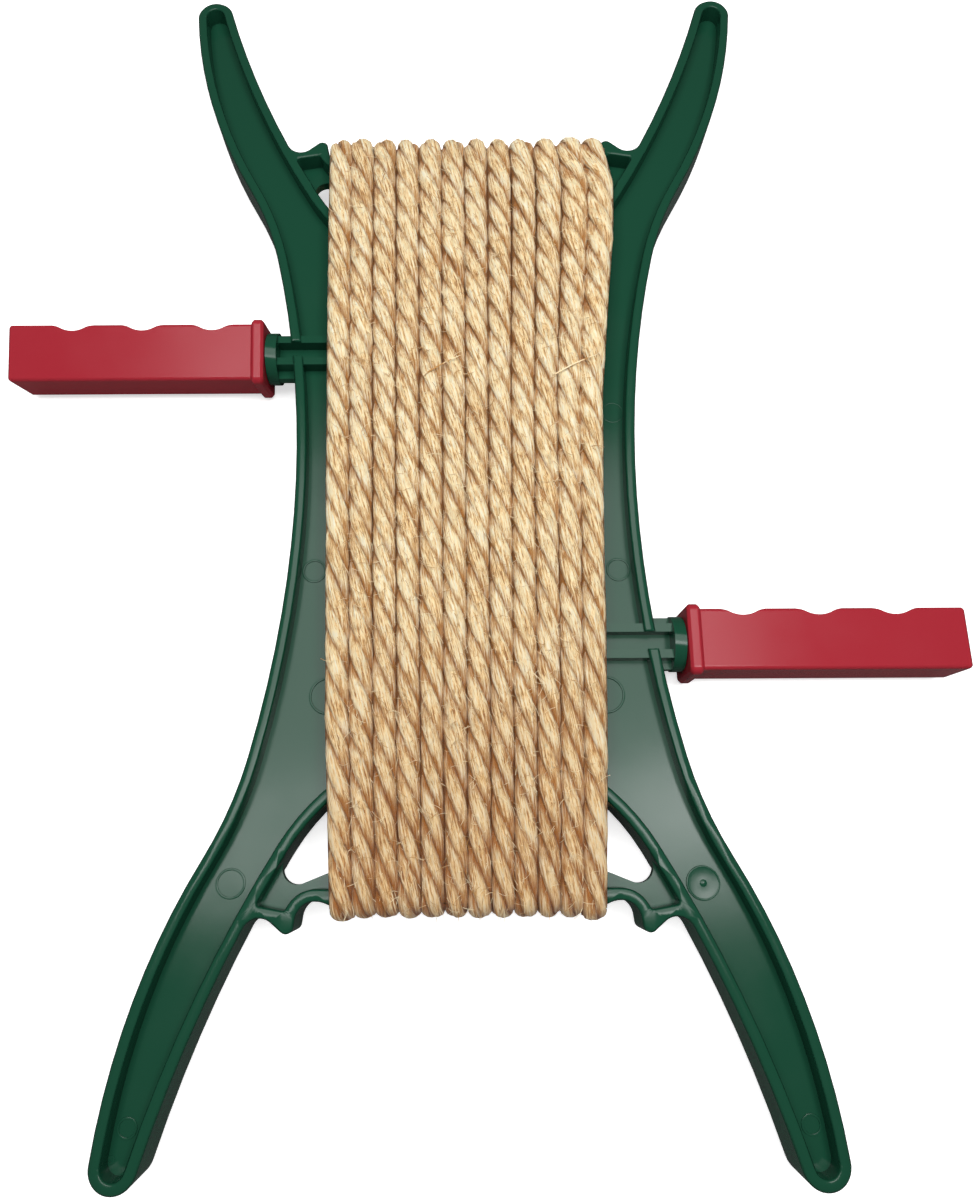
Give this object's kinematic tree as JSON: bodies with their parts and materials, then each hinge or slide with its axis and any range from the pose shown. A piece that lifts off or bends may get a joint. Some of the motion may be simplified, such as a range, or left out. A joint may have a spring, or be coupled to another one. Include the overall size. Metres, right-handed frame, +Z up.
{
  "type": "christmas light storage reel",
  "caption": "Hand-held winder: ribbed H-shaped plastic frame with notched bridges between its horns, two grips that spin on side axles, and a wound jute cord.",
  "frame": {"origin": "on the table, below the middle of the frame", "axes": "+X along the grip axles to the right, +Y along the winding towards the end that is farther away in the picture, +Z up out of the frame's front face"},
  "size_m": [0.3034, 0.3938, 0.0276],
  "materials": {
    "green_polypropylene": "moulded, semi-gloss, slightly sheer",
    "red_plastic": "moulded, satin",
    "jute": "three-strand twisted natural fibre"
  },
  "bodies": {
    "frame": {"frame": "green_polypropylene", "cord": "jute"},
    "left_grip": {"left_grip": "red_plastic"},
    "right_grip": {"right_grip": "red_plastic"}
  },
  "joints": [
    {"name": "left_grip_spin", "type": "hinge", "parent": "frame", "child": "left_grip", "pos_m": [-0.1092, 0.05, 0.01355], "axis": [1, 0, 0], "continuous": true},
    {"name": "right_grip_spin", "type": "hinge", "parent": "frame", "child": "right_grip", "pos_m": [0.1092, -0.05, 0.01355], "axis": [1, 0, 0], "continuous": true}
  ]
}
